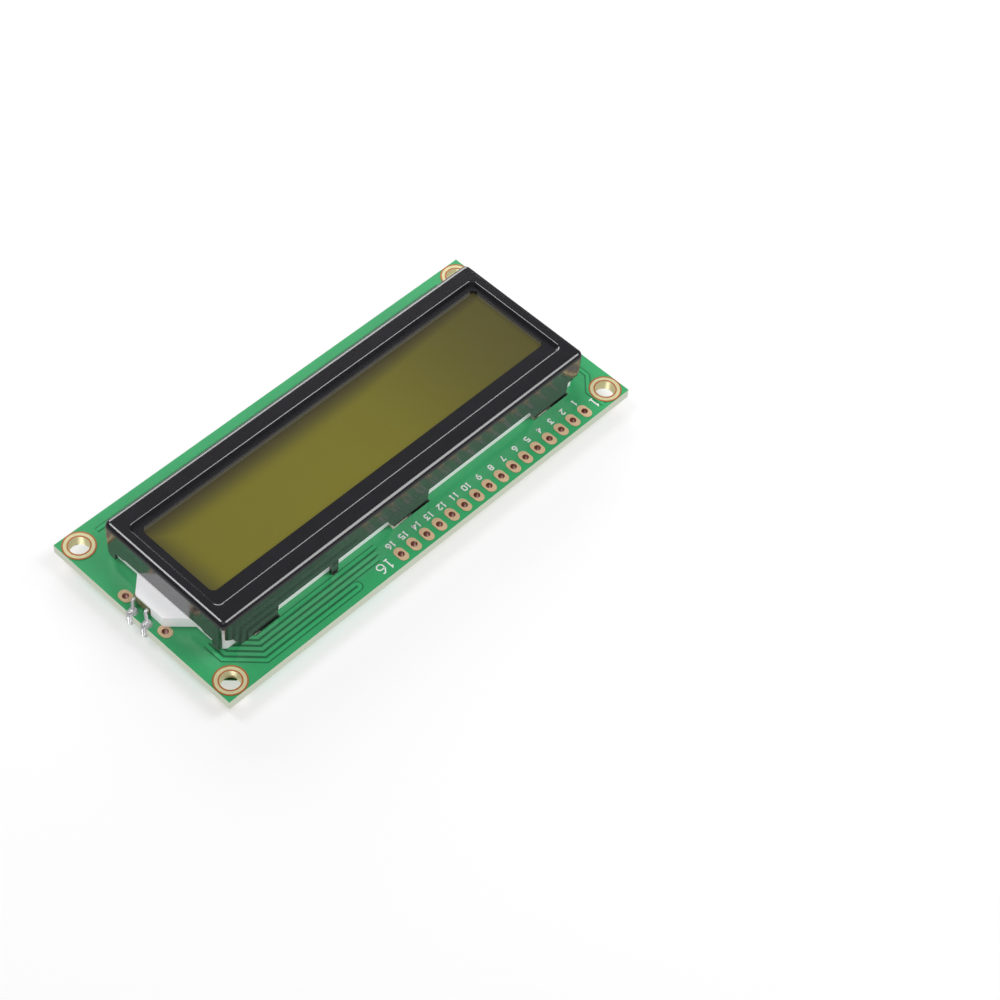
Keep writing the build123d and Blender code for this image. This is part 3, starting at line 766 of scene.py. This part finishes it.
class OBJECT_OT_display_lamp(bpy.types.Operator):
    """White backlight frame, its films, the lamp, its wires and the rubber strips"""

    bl_idname = "object.display_lamp"
    bl_label = "Backlight finishes"

    def execute(self, context):
        look = context.scene.display_lamp
        # Injection moulded white ABS: even and softly translucent. The faint glow is painted light: it lightens
        # the plastic where it lies in shade under the bezel walls
        white = surface(
            "white_abs", look.white, darker(look.white, 0.93), 0.6 * MM, (0.35, 0.5), 0.06,
            **{
                "Subsurface Weight": 0.1, "Subsurface Scale": 0.5 * MM,
                "Emission Color": (1, 1, 1, 1), "Emission Strength": 0.26,
            },
        )
        dress(["backlight_frame", "light_guide", "diffuser_film", "reflector_film"], white)
        # Cast lamp resin with a yellow phosphor
        resin = surface("lamp_resin", look.resin, darker(look.resin, 0.6), 0.4 * MM, (0.2, 0.35), 0.05)
        dress(["backlight_lamp"], resin)
        # Tinned copper wire and solder: bright, softly clouded
        tin = surface(
            "tinned_wire", look.tin, darker(look.tin, 0.8), 0.2 * MM, (0.18, 0.3), 0.08, Metallic=0.45
        )
        dress(numbered("lamp_wire_") + numbered("wire_solder_"), tin)
        # Carbon-striped silicone rubber
        rubber = surface("silicone_rubber", linear("c9c3c6"), linear("8f878c"), 0.3 * MM, (0.6, 0.75), 0.05)
        dress(numbered("contact_strip_"), rubber)
        return {"FINISHED"}


def chip_resistor(low, high):
    """A chip resistor in its box: ceramic block, glazed on its outer face, and end caps with feet.

    The faces get material 0 for ceramic, 1 for glaze and 2 for tin.
    """
    foot_length = 0.35 * MM
    cap_length = 0.55 * MM
    cap_lap = 0.05 * MM  # how far the block reaches into each cap
    side_gap = 0.05 * MM  # block inside the outline of the caps
    face_gap = 0.03 * MM
    soft_edge = 0.05 * MM
    foot_tip = 0.1  # where the tip of a foot ends, over the middle, as a share of the height
    middle, size = (low + high) / 2, high - low
    body_length = size.x - 2 * foot_length
    block_length = body_length - 2 * (cap_length - cap_lap)
    bm = bmesh.new()
    block = bmesh.ops.create_cube(bm, size=1)["verts"]
    bmesh.ops.scale(bm, verts=block, vec=(block_length, size.y - 2 * side_gap, size.z - 2 * face_gap))
    bmesh.ops.translate(bm, verts=block, vec=middle)
    for face in bm.faces:
        face.material_index = 1 if face.normal.z < -0.5 else 0
    for end in (-1, 1):
        cap = bmesh.ops.create_cube(bm, size=1)["verts"]
        bmesh.ops.scale(bm, verts=cap, vec=(cap_length, size.y, size.z))
        reach = middle.x + end * (body_length - cap_length) / 2
        bmesh.ops.translate(bm, verts=cap, vec=(reach, middle.y, middle.z))
        foot = [f for f in {f for v in cap for f in v.link_faces} if f.normal.x * end > 0.5]
        grown = bmesh.ops.extrude_face_region(bm, geom=foot)["geom"]
        tips = [part for part in grown if isinstance(part, bmesh.types.BMVert)]
        for v in tips:
            v.co.x = middle.x + end * (size.x / 2)
            if v.co.z < middle.z:
                v.co.z = middle.z + foot_tip * size.z
        for face in {f for v in cap + tips for f in v.link_faces}:
            face.material_index = 2
    bmesh.ops.bevel(
        bm, geom=bm.edges[:], offset=soft_edge, affect="EDGES", segments=2, profile=0.5, material=-1
    )
    return bm


class OBJECT_OT_display_chips(bpy.types.Operator):
    """Domed epoxy covers and the chip resistors on the back"""

    bl_idname = "object.display_chips"
    bl_label = "Chips on the back"

    def execute(self, context):
        look = context.scene.display_chips
        # Black potting epoxy, poured and cured: glossy with slow waves
        epoxy = surface(
            "black_epoxy", look.epoxy, darker(look.epoxy, 0.7), 1.2 * MM, (0.3, 0.4), 0.05,
            **{"Specular IOR Level": 0.2, "Coat Weight": 1.0, "Coat Roughness": 0.2, "Coat IOR": 1.7},
        )
        dress(numbered("chip_cover_"), epoxy)
        # Alumina block with black overglaze on its face, and tin end caps
        ceramic = surface("alumina", look.ceramic, darker(look.ceramic, 0.85), 0.2 * MM, (0.5, 0.65), 0.05)
        glaze = surface("overglaze", look.glaze, darker(look.glaze, 0.6), 0.3 * MM, (0.25, 0.4), 0.05)
        tin_colour = context.scene.display_lamp.tin
        tin = surface(
            "solder_tin", tin_colour, darker(tin_colour, 0.75), 0.2 * MM, (0.2, 0.35), 0.1, Metallic=0.4
        )
        for name in numbered("resistor_"):
            bm = chip_resistor(*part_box(name))
            piece = add_piece(f"chip_{name}", bm, [ceramic, glaze, tin])
            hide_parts(name)
        return {"FINISHED"}


def floor_material(colour):
    """A plain matt floor that glows a little, lets light through from below and keeps the shadow.

    The camera sees half matt floor, which takes the shadow, and half glow, which keeps it evenly pale.
    Other rays see the glow alone, dimmer where they are diffuse and thinned where they are glossy.
    Shadow rays and rays from below pass through.
    """
    material = bpy.data.materials.new("plain_floor")
    material.use_nodes = True
    tree = material.node_tree
    tree.nodes.clear()
    rays = add_node(tree, "ShaderNodeLightPath")
    matt = add_node(tree, "ShaderNodeBsdfDiffuse", values={"Color": (*colour, 1)})
    level = add_node(
        tree, "ShaderNodeMapRange", values={"To Min": 1.0, "To Max": 0.75},
        links={"Value": rays.outputs["Is Diffuse Ray"]},
    )
    bright = add_node(
        tree, "ShaderNodeEmission", values={"Color": (*colour, 1)}, links={"Strength": level.outputs["Result"]}
    )
    share = add_node(
        tree, "ShaderNodeMapRange", values={"To Min": 1.0, "To Max": 0.5},
        links={"Value": rays.outputs["Is Camera Ray"]},
    )
    mixed = add_node(
        tree, "ShaderNodeMixShader",
        links={0: share.outputs["Result"], 1: matt.outputs["BSDF"], 2: bright.outputs["Emission"]},
    )
    clear = add_node(tree, "ShaderNodeBsdfTransparent")
    behind = add_node(tree, "ShaderNodeNewGeometry")
    thinned = add_node(
        tree, "ShaderNodeMath", {"operation": "MULTIPLY"}, {1: 0.65}, {0: rays.outputs["Is Glossy Ray"]}
    )
    lit_through = add_node(
        tree, "ShaderNodeMath", {"operation": "MAXIMUM"},
        links={0: rays.outputs["Is Shadow Ray"], 1: thinned.outputs["Value"]},
    )
    open_way = add_node(
        tree, "ShaderNodeMath", {"operation": "MAXIMUM"},
        links={0: behind.outputs["Backfacing"], 1: lit_through.outputs["Value"]},
    )
    sided = add_node(
        tree, "ShaderNodeMixShader",
        links={0: open_way.outputs["Value"], 1: mixed.outputs["Shader"], 2: clear.outputs["BSDF"]},
    )
    add_node(tree, "ShaderNodeOutputMaterial", links={"Surface": sided.outputs["Shader"]})
    return material


def lay_floor(colour):
    """The floor, level with the lowest point of the module."""
    floor_size = 3.0
    bm = bmesh.new()
    bmesh.ops.create_grid(bm, x_segments=2, y_segments=2, size=floor_size / 2)
    bmesh.ops.translate(bm, verts=bm.verts, vec=(0, 0, CAD_LOW.z))
    mesh = bpy.data.meshes.new("floor")
    bm.to_mesh(mesh)
    bm.free()
    mesh.materials.append(floor_material(colour))
    floor = bpy.data.objects.new("floor", mesh)
    bpy.context.scene.collection.objects.link(floor)


def studio_world():
    """White to the camera, dim in reflections, so that only the lights draw bright lines on the paint."""
    world = bpy.data.worlds.new("studio")
    world.use_nodes = True
    sky = world.node_tree
    sky.nodes.clear()
    path = add_node(sky, "ShaderNodeLightPath")
    dim = add_node(
        sky, "ShaderNodeMapRange", values={"To Min": 0.27, "To Max": 0.12},
        links={"Value": path.outputs["Is Glossy Ray"]},
    )
    level = add_node(
        sky, "ShaderNodeMix", {"data_type": "FLOAT"}, {"B": 1.0},
        {"Factor": path.outputs["Is Camera Ray"], "A": dim.outputs["Result"]},
    )
    plain = add_node(
        sky, "ShaderNodeBackground", values={"Color": (1, 1, 1, 1)}, links={"Strength": level.outputs["Result"]}
    )
    add_node(sky, "ShaderNodeOutputWorld", links={"Surface": plain.outputs["Background"]})
    return world


def hang_softbox(name, place, size, power):
    """A rectangular light that looks at the module and that the camera doesn't see."""
    light = bpy.data.lights.new(name, "AREA")
    light.shape = "RECTANGLE"
    light.size, light.size_y = size
    light.energy = power
    lamp = bpy.data.objects.new(name, light)
    lamp.location = place
    lamp.visible_camera = False
    lamp.rotation_euler = (-Vector(place)).to_track_quat("-Z", "Y").to_euler()
    bpy.context.scene.collection.objects.link(lamp)


class OBJECT_OT_display_stage(bpy.types.Operator):
    """Floor, soft light and the camera"""

    bl_idname = "object.display_stage"
    bl_label = "Stage"

    def execute(self, context):
        look = context.scene.display_stage
        scene = context.scene
        scene.view_settings.view_transform = "Standard"
        lay_floor(look.floor)
        scene.world = studio_world()

        # Name, place and size of each light in metres, and its power. The strips are placed so that
        # their mirror images fall on the bends of the bezel and on the domed covers
        lights = (
            ("softbox", (0.14, 0.14, 0.36), (0.30, 0.30), look.top_power),
            ("near_strip", (-0.186, 0.19, 0.323), (0.20, 0.26), 1.2 * look.strip_power),
            ("end_strip", (0.126, -0.184, 0.357), (0.14, 0.16), 0.7 * look.strip_power),
            ("rear_strip", (-0.194, -0.344, 0.172), (0.36, 0.20), 1.5 * look.strip_power),
            ("under_light", (0.21, 0.06, -0.335), (0.18, 0.18), look.under_power),
        )
        for light in lights:
            hang_softbox(*light)

        view = bpy.data.cameras.new("camera")
        view.lens = look.lens
        view.sensor_width = SENSOR_WIDTH
        view.clip_start, view.clip_end = 0.01, 10
        camera = bpy.data.objects.new("camera", view)
        camera.location = CAMERA_PLACE
        camera.rotation_euler = [math.radians(angle) for angle in CAMERA_TURN]
        scene.collection.objects.link(camera)
        scene.camera = camera
        return {"FINISHED"}


STEPS = (
    OBJECT_OT_display_board,
    OBJECT_OT_display_copper,
    OBJECT_OT_display_print,
    OBJECT_OT_display_bezel,
    OBJECT_OT_display_screen,
    OBJECT_OT_display_lamp,
    OBJECT_OT_display_chips,
    OBJECT_OT_display_stage,
)


class VIEW3D_PT_display(bpy.types.Panel):
    """Lists the steps and the values of the display module"""

    bl_idname = "VIEW3D_PT_display"
    bl_label = "Character display"
    bl_space_type = "VIEW_3D"
    bl_region_type = "UI"
    bl_category = "Display"

    def draw(self, context):
        for step in STEPS:
            self.layout.operator(step.bl_idname)
        for name, look in LOOKS.items():
            box = self.layout.box()
            for key in look.__annotations__:
                box.prop(getattr(context.scene, name), key)


def register():
    for look in LOOKS.values():
        bpy.utils.register_class(look)
    for name, look in LOOKS.items():
        setattr(bpy.types.Scene, name, bpy.props.PointerProperty(type=look))
    for step in STEPS:
        bpy.utils.register_class(step)
    bpy.utils.register_class(VIEW3D_PT_display)


def unregister():
    bpy.utils.unregister_class(VIEW3D_PT_display)
    for step in reversed(STEPS):
        bpy.utils.unregister_class(step)
    for name in LOOKS:
        delattr(bpy.types.Scene, name)
    for look in reversed(LOOKS.values()):
        bpy.utils.unregister_class(look)


def main():
    """Registers the add-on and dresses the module."""
    register()
    for step in STEPS:
        group, call = step.bl_idname.split(".")
        getattr(getattr(bpy.ops, group), call)()


if __name__ == "__main__":
    main()
